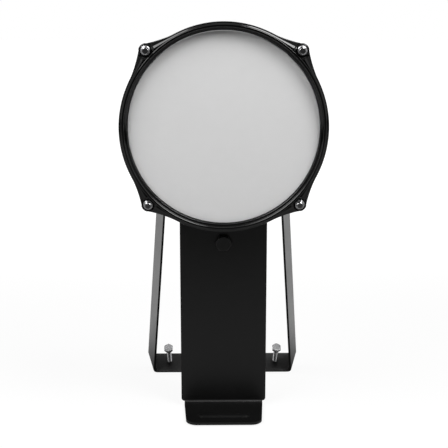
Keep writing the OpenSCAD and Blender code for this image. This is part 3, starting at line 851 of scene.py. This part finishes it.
@dataclass
class Fastener:
    """A bolt, rod or screw: a head, an optional flange, and a shank with a thread and a point."""

    name: str
    drive: Drive
    flats: float
    head: float
    shank_r: float
    length: float
    pitch: float
    point: float
    tip_r: float
    plain: float = 0.0
    flange_r: float = 0.0
    flange_h: float = 0.0
    spin: float = 0.0

    tooth: ClassVar[float] = 0.6

    def build(self) -> Piece:
        """The fastener along Z, head up, with its seat at height 0.

        Returns:
            The piece.
        """
        parts = [self.crown(), self.core(), self.thread()]
        if self.flange_r:
            parts.append(self.flange())
        return Bench.join(parts, self.name)

    def crown(self) -> Piece:
        """The head that takes the key, with its corners turned off and its edges broken.

        Returns:
            The head.
        """
        sides, base, top = self.drive.value, self.flange_h, self.flange_h + self.head
        radius = self.flats / 2 / (1 if self.drive is Drive.PAN else math.cos(math.pi / sides))
        Bench.clear()
        bpy.ops.mesh.primitive_cylinder_add(vertices=sides, radius=radius, depth=self.head,
                                            location=(0, 0, base + self.head / 2),
                                            rotation=(0, 0, math.radians(self.spin)))
        piece = bpy.context.object
        bpy.ops.object.transform_apply(location=True, rotation=True, scale=True)
        if self.drive is Drive.PAN:
            self.cross(piece)
            return Bench.soften(piece, 0.2 * self.head, 3)
        limit = Bench.turned("corner_limit", [
            (0.0, base - 0.001), (radius * 1.2, base - 0.001), (radius * 1.2, base + 0.55 * self.head),
            (radius * 0.985, base + 0.8 * self.head), (self.flats * 0.475, top), (0.0, top + 1e-5)], 72)
        Bench.cut(piece, limit, "INTERSECT")
        return Bench.soften(piece, 0.035 * self.flats, 2, 28)

    def cross(self, piece: Piece) -> None:
        """Cut the cross recess of a pan head.

        Args:
            piece: The head.
        """
        for turn in (45, 135):
            Bench.clear()
            bpy.ops.mesh.primitive_cube_add(size=1, location=(0, 0, self.head))
            tool = bpy.context.object
            tool.scale = (self.flats * 0.52, self.flats * 0.13, self.head * 0.9)
            tool.rotation_euler = (0, 0, math.radians(turn))
            bpy.ops.object.transform_apply(location=True, rotation=True, scale=True)
            Bench.cut(piece, tool)

    def flange(self) -> Piece:
        """The round flange under the head.

        Returns:
            The flange.
        """
        r, h = self.flange_r, self.flange_h
        return Bench.shade(Bench.turned("flange", [
            (0.0, 0.0), (r * 0.98, 0.0), (r, 0.08 * h), (r * 0.99, 0.25 * h), (r * 0.93, 0.55 * h),
            (r * 0.84, 0.8 * h), (r * 0.73, 0.95 * h), (r * 0.62, h), (0.0, 1.02 * h)]), 40)

    def root(self) -> float:
        """Radius of the shank between the thread's ridges."""
        return self.shank_r - self.tooth * self.pitch

    def core(self) -> Piece:
        """The shank without its thread, plain at the top and pointed at the end.

        Returns:
            The shank.
        """
        r, top, end, root = self.shank_r, 0.3 * self.head, -self.length, self.root()
        return Bench.shade(Bench.turned("core", [
            (0.0, top), (r, top), (r, -self.plain), (root, -self.plain - self.tooth * self.pitch),
            (root, end + self.point), (self.tip_r, end), (0.0, end)], 32), 30)

    def thread(self) -> Piece:
        """The thread, a ridge that climbs one pitch in a turn.

        Returns:
            The thread.
        """
        turns = int((self.length - self.point - self.plain) / self.pitch) - 1
        Bench.clear()
        bpy.ops.mesh.primitive_circle_add(vertices=4, radius=self.tooth * self.pitch)
        ridge = bpy.context.object
        ridge.scale = (1.0, 0.75, 1.0)
        ridge.rotation_euler = (math.radians(90), 0, 0)
        ridge.location = (self.root(), 0, -self.plain - 0.8 * self.pitch)
        bpy.ops.object.transform_apply(location=True, rotation=True, scale=True)
        Bench.modify(ridge, "SCREW", axis="Z", angle=2 * math.pi, screw_offset=-self.pitch, iterations=turns,
                     steps=20, render_steps=20)
        Bench.edit(ridge)
        bpy.ops.mesh.remove_doubles(threshold=1e-7)
        bpy.ops.mesh.fill_holes(sides=0)
        bpy.ops.mesh.normals_make_consistent(inside=False)
        Bench.close(ridge)
        return Bench.shade(ridge, 30)


@dataclass
class Nut:
    """A hexagon nut with a bore, and a flange if it has one."""

    name: str
    flats: float
    height: float
    bore_r: float
    flange_r: float = 0.0
    flange_h: float = 0.0

    def build(self) -> Piece:
        """The nut along Z, seated at height 0.

        Returns:
            The piece.
        """
        Bench.clear()
        radius, rim, h, b = self.flats / math.sqrt(3), self.flats * 0.475, self.height, self.bore_r
        bpy.ops.mesh.primitive_cylinder_add(vertices=6, radius=radius, depth=h, location=(0, 0, h / 2))
        piece = bpy.context.object
        piece.name = self.name
        bpy.ops.object.transform_apply(location=True, rotation=True, scale=True)
        Bench.cut(piece, Bench.turned("corner_limit", [
            (0.0, -1e-5), (rim, 0.0), (radius * 1.02, 0.16 * h), (radius * 1.02, 0.84 * h), (rim, h),
            (0.0, h + 1e-5)], 72), "INTERSECT")
        if self.flange_r:
            Bench.cut(piece, Bench.turned("flange", [
                (0.0, 0.0), (self.flange_r, 0.0), (self.flange_r, 0.5 * self.flange_h),
                (self.flange_r * 0.8, 1.4 * self.flange_h), (0.0, 1.4 * self.flange_h)]), "UNION")
        Bench.cut(piece, Bench.turned("bore", [
            (0.0, -0.001), (b * 1.14 + 0.001, -0.001), (b * 1.14, 0.0), (b, 0.08 * h), (b, 0.92 * h),
            (b * 1.14, h), (b * 1.14 + 0.001, h + 0.001), (0.0, h + 0.001)], 48))
        return Bench.soften(piece, 0.025 * self.flats, 2, 28)


@dataclass
class Washer:
    """A flat washer with its edges rolled over."""

    name: str
    outer: float
    inner: float
    height: float

    def build(self) -> Piece:
        """The washer along Z, seated at height 0.

        Returns:
            The piece.
        """
        o, i, h, e = self.outer, self.inner, self.height, 0.28 * self.height
        profile = [(i, e), (i + e, 0.0), (o - e, 0.0), (o, e), (o, h - 1.2 * e), (o - 0.35 * e, h - 0.4 * e),
                   (o - 1.2 * e, h), (i + e, h), (i, h - e)]
        return Bench.shade(Bench.turned(self.name, profile, ring=True), 40)


@dataclass
class TensionRods:
    """Four square-headed rods with their washers."""

    rod_r: float = 0.110
    seat_d: float = 0.006
    washer_t: float = 0.0012
    seat_gap: float = 0.00015
    turns: tuple[float, ...] = (28.0, 52.0, 17.0, 66.0)
    bodies: tuple[str, ...] = ("rod_tl", "rod_tr", "rod_bl", "rod_br")

    def build(self) -> None:
        """Make the rods and their washers."""
        out = self.rod_r * math.sqrt(0.5)
        ears = ((-out, out), (out, out), (-out, -out), (out, -out))
        for (x, z), turn, body in zip(ears, self.turns, self.bodies):
            rod = Fastener("key_" + body, Drive.SQUARE, flats=0.006, head=0.0055, shank_r=0.0025,
                           length=0.036, pitch=0.0008, point=0.0012, tip_r=0.0014, plain=0.014,
                           flange_r=0.0052, flange_h=0.0016, spin=45 - turn).build()
            Bench.move(rod, pad_frame(x, self.seat_d - self.washer_t - self.seat_gap, z) @ OVER)
            Bench.dress(rod, Finishes.chrome, body, "tension_" + body)
        ring = Washer("rod_washer", outer=0.0055, inner=0.0028, height=self.washer_t).build()
        rings = Bench.repeat(ring, [pad_frame(x, self.seat_d, z) @ OVER for x, z in ears])
        Bench.dress(Bench.join(rings, "rod_washer_set"), Finishes.chrome, "stand", "rod_washers")


@dataclass
class Tower:
    """The bent plate with the pedal tongue, the carrier behind the pad, and the bolt that clamps them."""

    plate_y: float = 0.028
    plate_t: float = 0.003
    bolt_z: float = 0.1895
    washer_t: float = 0.002
    tongue_top: float = 0.0045
    bead_half: tuple[float, float] = (0.029, 0.0055)
    bead_y: float = -0.010
    bead_gain: float = 1.6

    def build(self) -> None:
        """Make the plates and the clamp."""
        for node, name, width, finish in (("tower_plate", "tower_upright", 0.0006, Finishes.satin),
                                          ("pad_carrier", "carrier_strap", 0.0004, Finishes.satin),
                                          ("foot_pad", "rubber_foot", 0.0004, Finishes.rubber)):
            piece = Bench.copied(node, name)
            if node == "tower_plate":
                self.press(piece)
            Bench.dress(Bench.soften(piece, width, 3, crease=16), finish, "stand", node)
        self.clamp()

    def press(self, piece: Piece) -> None:
        """Press the tongue's bead up to the height that shows in the photograph.

        Args:
            piece: The tower plate.
        """
        half_x, half_y = self.bead_half
        raised = [v.index for v in piece.data.vertices if v.co.z > self.tongue_top + 1e-5
                  and abs(v.co.x) < half_x and abs(v.co.y - self.bead_y) < half_y]
        Bench.pick(piece, *(range(i, i + 1) for i in raised))
        bpy.ops.transform.resize(value=(1, 1, self.bead_gain), center_override=(0, 0, self.tongue_top))
        Bench.close(piece)

    def at(self, y: float) -> Matrix:
        """A place on the clamp's axis, from which a piece's Z points to the back."""
        return Matrix.Translation((0, y, self.bolt_z)) @ BACKWARDS

    def clamp(self) -> None:
        """Make the clamp bolt with its washer and nut."""
        back = self.plate_y + 2 * self.plate_t
        bolt = Fastener("clamp_hex_bolt", Drive.HEX, flats=0.016, head=0.0064, shank_r=0.005, length=0.019,
                        pitch=0.0015, point=0.001, tip_r=0.0042, plain=0.007, spin=28).build()
        Bench.dress(Bench.move(bolt, self.at(self.plate_y) @ OVER), Finishes.oxide, "stand", "clamp_bolt")
        disc = Washer("clamp_flat_washer", outer=0.010, inner=0.0053, height=self.washer_t).build()
        Bench.dress(Bench.move(disc, self.at(back)), Finishes.zinc, "stand", "clamp_washer")
        nut = Nut("clamp_hex_nut", flats=0.016, height=0.008, bore_r=0.0051).build()
        Bench.dress(Bench.move(nut, self.at(back + self.washer_t)), Finishes.zinc, "stand", "clamp_nut")


@dataclass
class Brace:
    """The folded flat bar with its studs, and the spurs through its bottom."""

    front_y: float = 0.1285
    tilt: float = 42.0
    bar_t: float = 0.0025
    spur_in: float = 0.0155
    spur_x: float = 0.066
    spur_seat: float = 0.0293
    spur_nut_h: float = 0.005
    stud_x: float = 0.0550323
    stud_z: float = 0.279347
    stud_sink: float = 0.0015
    back_y: float = 0.034

    def build(self) -> None:
        """Make the bar, the studs and the spurs."""
        bar = Bench.soften(Bench.copied("brace", "folded_brace"), 0.0008, 3, 40)
        Bench.dress(bar, Finishes.satin, "stand", "brace")
        self.studs()
        self.spurs()

    def seat(self, x: float, up: float) -> Matrix:
        """A place on a spur's axis, at a height above the bar's top face."""
        return (Matrix.Translation((x, self.front_y, 0)) @ Matrix.Rotation(math.radians(self.tilt), 4, "X")
                @ Matrix.Translation((0, self.spur_in, self.bar_t + up)))

    def studs(self) -> None:
        """Make the studs that hold the tabs, and their flanged nuts."""
        tabs = [Matrix.Translation((x, self.back_y, self.stud_z)) @ BACKWARDS
                for x in (-self.stud_x, self.stud_x)]
        sink, lift = (Matrix.Translation((0, 0, rise)) for rise in (-self.stud_sink, self.bar_t))
        stud = Fastener("brace_stud", Drive.PAN, flats=0.009, head=0.0014, shank_r=0.003, length=0.0119,
                        pitch=0.001, point=0.0005, tip_r=0.0025, plain=0.002).build()
        studs = Bench.repeat(stud, [tab @ sink @ OVER for tab in tabs])
        nut = Nut("brace_nut", flats=0.010, height=0.006, bore_r=0.0031, flange_r=0.0068,
                  flange_h=0.0014).build()
        nuts = Bench.repeat(nut, [tab @ lift for tab in tabs])
        Bench.dress(Bench.join(studs, "brace_stud_pair"), Finishes.zinc, "stand", "brace_studs")
        Bench.dress(Bench.join(nuts, "brace_nut_pair"), Finishes.zinc, "stand", "brace_nuts")

    def spurs(self) -> None:
        """Make the spurs and the nuts under the bar."""
        sides = (-self.spur_x, self.spur_x)
        spur = Fastener("floor_spur", Drive.HEX, flats=0.010, head=0.004, shank_r=0.003, length=0.044,
                        pitch=0.001, point=0.006, tip_r=0.0004, plain=0.0015).build()
        spurs = Bench.repeat(spur, [self.seat(x, self.spur_seat) for x in sides])
        for piece, body, node in zip(spurs, ("spur_l", "spur_r"), ("spur_left", "spur_right")):
            piece.name = "floor_" + node
            Bench.dress(piece, Finishes.zinc, body, node)
        nut = Nut("spur_nut", flats=0.010, height=self.spur_nut_h, bore_r=0.0031).build()
        nuts = Bench.repeat(nut, [self.seat(x, -self.bar_t - self.spur_nut_h) for x in sides])
        Bench.dress(Bench.join(nuts, "spur_nut_pair"), Finishes.oxide, "stand", "spur_nuts")


@dataclass
class Shell:
    """The moulded bowl with the trigger in it, and the screws and the jack at its back."""

    screw_r: float = 0.030
    screw_turn: float = 25.0
    carrier_d: float = 0.056
    jack_x: float = 0.074
    jack_z: float = 0.025
    back_d: float = 0.053

    def build(self) -> None:
        """Make the bowl and what shows at its back, and dress what is inside."""
        bowl = Bench.soften(Bench.copied("shell", "moulded_bowl"), 0.0004, 2, 40)
        Bench.dress(bowl, Finishes.shell, "stand", "shell")
        self.screws()
        jack = Bench.soften(Bench.copied("jack_socket", "jack_body"), 0.0003)
        Bench.dress(jack, Finishes.shell, "stand", "jack_socket")
        nut = Nut("jack_ring_nut", flats=0.013, height=0.003, bore_r=0.00485).build()
        Bench.move(nut, pad_frame(self.jack_x, self.back_d, self.jack_z))
        Bench.dress(nut, Finishes.chrome, "stand", "jack_nut")
        self.inside()

    def screws(self) -> None:
        """Make the screws that hold the bowl on its carrier."""
        screw = Fastener("shell_screw", Drive.PAN, flats=0.009, head=0.0028, shank_r=0.0025, length=0.013,
                         pitch=0.0008, point=0.0008, tip_r=0.0016, plain=0.0005).build()
        places = [pad_frame(x * self.screw_r, self.carrier_d, z * self.screw_r)
                  @ Matrix.Rotation(math.radians(self.screw_turn * i), 4, "Z")
                  for i, (x, z) in enumerate(((1, 0), (0, 1), (-1, 0), (0, -1)))]
        screws = Bench.repeat(screw, places)
        Bench.dress(Bench.join(screws, "shell_screw_set"), Finishes.zinc, "stand", "shell_screws")

    @staticmethod
    def inside() -> None:
        """Give the CAD nodes that stay their finishes."""
        for node, finish in (("flesh_hoop", Finishes.aluminium), ("lug_inserts", Finishes.brass),
                             ("sensor_bar", Finishes.aluminium), ("sensor_screws", Finishes.zinc),
                             ("piezo_disc", Finishes.brass)):
            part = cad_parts[node]
            part.data.materials.clear()
            part.data.materials.append(finish.material())
            LOG.info("%s: CAD node in %s", node, finish.name)


@dataclass(frozen=True)
class Softbox:
    """A soft lamp, placed round the line of sight to the head."""

    name: str
    azimuth: float
    polar: float
    distance: float
    width: float
    height: float
    glow: float

    def build(self) -> None:
        """Hang the lamp and aim it at the head."""
        around, off = math.radians(self.azimuth), math.radians(self.polar)
        way = Vector((math.cos(around) * math.sin(off), -math.cos(off), math.sin(around) * math.sin(off)))
        lamp = bpy.data.lights.new(self.name, "AREA")
        lamp.shape = "RECTANGLE"
        lamp.size, lamp.size_y = self.width, self.height
        lamp.energy = math.pi * self.width * self.height * self.glow
        holder = bpy.data.objects.new(self.name, lamp)
        bpy.context.scene.collection.objects.link(holder)
        holder.location = Vector((0, LIP_Y, PAD_Z)) + way * self.distance
        holder.rotation_euler = (-way).to_track_quat("-Z", "Y").to_euler()


@dataclass
class Studio:
    """A white floor and background, two softboxes, a dim front, and the camera.

    Each span of the floor and the world is where a soft step starts and ends: in metres along an axis of the
    floor, in square metres for beside_zone and beside_end, and along an axis of a direction in the world.
    """

    camera_at: tuple[float, float, float] = (-0.012, -0.9265, 0.4183)
    camera_turn: tuple[float, float, float] = (77.715, 0.0, -0.758)
    lens: float = 72.3
    sensor: float = 36.0
    clip: Span = (0.01, 100.0)
    floor_size: float = 60.0
    floor_drop: float = 0.0002
    paper: float = 0.48
    paper_glow: float = 1.18
    glow_share: float = 0.75
    far_glow: float = 0.3
    far_zone: Span = (0.3, 1.5)
    near_bounce: float = 0.32
    far_bounce: float = 0.05
    near_zone: Span = (-1.0, -0.25)
    # Painted shade: from under the stand backwards, the floor's colour drops to far_bounce where the stand's
    # shadow falls
    painted_shade_zone: Span = (0.0, 0.1)
    back_floor: float = 1.2
    back_zone: Span = (0.1, 0.28)
    beside_lean: float = 0.1
    beside_zone: Span = (-0.02, 0.06)
    beside_end: Span = (1.2, 2.4)
    beside_front: Span = (-0.8, -0.5)
    low_level: float = 0.04
    top_level: float = 0.75
    top_zone: Span = (0.9, 0.98)
    side_level: float = 0.55
    side_front: Span = (-0.88, -0.78)
    side_back: Span = (0.0, 0.5)
    side_top: Span = (0.6, 0.85)
    fill: float = 0.45
    boxes: tuple[Softbox, ...] = (
        Softbox("right_softbox", azimuth=58, polar=68, distance=1.3, width=0.5, height=0.8, glow=11.2),
        Softbox("left_softbox", azimuth=128, polar=68, distance=1.3, width=0.9, height=0.8, glow=5.8),
    )

    def build(self) -> None:
        """Set up the floor, the light and the camera."""
        self.floor()
        self.world()
        for box in self.boxes:
            box.build()
        self.camera()
        bpy.context.scene.view_settings.view_transform = "Standard"

    def floor(self) -> None:
        """Lay a wide pale floor that keeps a faint shadow, is dim to the part, and is bright in its gloss."""
        Bench.clear()
        bpy.ops.mesh.primitive_plane_add(size=self.floor_size, location=(0, 0, -self.floor_drop))
        floor = bpy.context.object
        floor.name = "studio_floor"
        material = bpy.data.materials.new("pale_floor")
        material.use_nodes = True
        board = Board(material.node_tree)
        seen, mirrored = board.rays()
        x, y, _ = board.axes(board.place())
        # Floor colour for all but the camera: near_bounce just in front of the part, darker towards the far
        # front, and painted shade under and behind the stand
        near = y.step(*self.near_zone) * (1.0 - y.step(*self.painted_shade_zone))
        wide = x * x
        beside = (wide - y * y * self.beside_lean).step(*self.beside_zone)
        beside = mirrored * beside * (1.0 - wide.step(*self.beside_end)) * (1.0 - y.step(*self.beside_front))
        behind = mirrored * y.step(*self.back_zone)
        dull = board.add("ShaderNodeBsdfDiffuse", None,
                         {"Color": board.blend(near, (self.far_bounce,) * 3, (self.near_bounce,) * 3)})
        hidden = board.mix(behind, board.mix(beside, dull, board.glow(self.side_level)),
                           board.glow(self.back_floor))
        paper = board.add("ShaderNodeBsdfDiffuse", None, {"Color": (self.paper, self.paper, self.paper, 1.0)})
        glow = board.glow(self.paper_glow + y.step(*self.far_zone) * self.far_glow)
        shader = board.mix(seen, hidden, board.mix(self.glow_share, paper, glow))
        board.add("ShaderNodeOutputMaterial", None, {"Surface": shader})
        floor.data.materials.append(material)

    def world(self) -> None:
        """Light the part softly all round a dark front and from straight above, and show white behind it."""
        world = bpy.data.worlds.new("studio_light")
        bpy.context.scene.world = world
        world.use_nodes = True
        board = Board(world.node_tree)
        _, y, z = board.axes(board.add("ShaderNodeTexCoord", out="Generated"))
        seen, mirrored = board.rays()
        side = y.step(*self.side_front) * (1.0 - y.step(*self.side_back)) * (1.0 - z.step(*self.side_top))
        side = side * (self.fill + mirrored * (1.0 - self.fill))
        level = self.low_level + z.step(*self.top_zone) * self.top_level + side * self.side_level
        light = board.add("ShaderNodeBackground", None,
                          {"Color": (1.0, 1.0, 1.0, 1.0), "Strength": seen.larger(level)})
        board.add("ShaderNodeOutputWorld", None, {"Surface": light})

    def camera(self) -> None:
        """Set the camera where the photograph was taken from."""
        lens = bpy.data.cameras.new("photo_camera")
        lens.lens = self.lens
        lens.sensor_width = self.sensor
        lens.clip_start, lens.clip_end = self.clip
        holder = bpy.data.objects.new("photo_camera", lens)
        bpy.context.scene.collection.objects.link(holder)
        holder.location = self.camera_at
        holder.rotation_euler = [math.radians(a) for a in self.camera_turn]
        bpy.context.scene.camera = holder


def main() -> None:
    """Build the studio, then the part's pieces in order."""
    logging.basicConfig(level=logging.INFO, format="%(name)s %(message)s")
    Studio().build()
    DrumHead().build()
    TensionHoop().build()
    TensionRods().build()
    Tower().build()
    Brace().build()
    Shell().build()


if __name__ == "__main__":
    main()
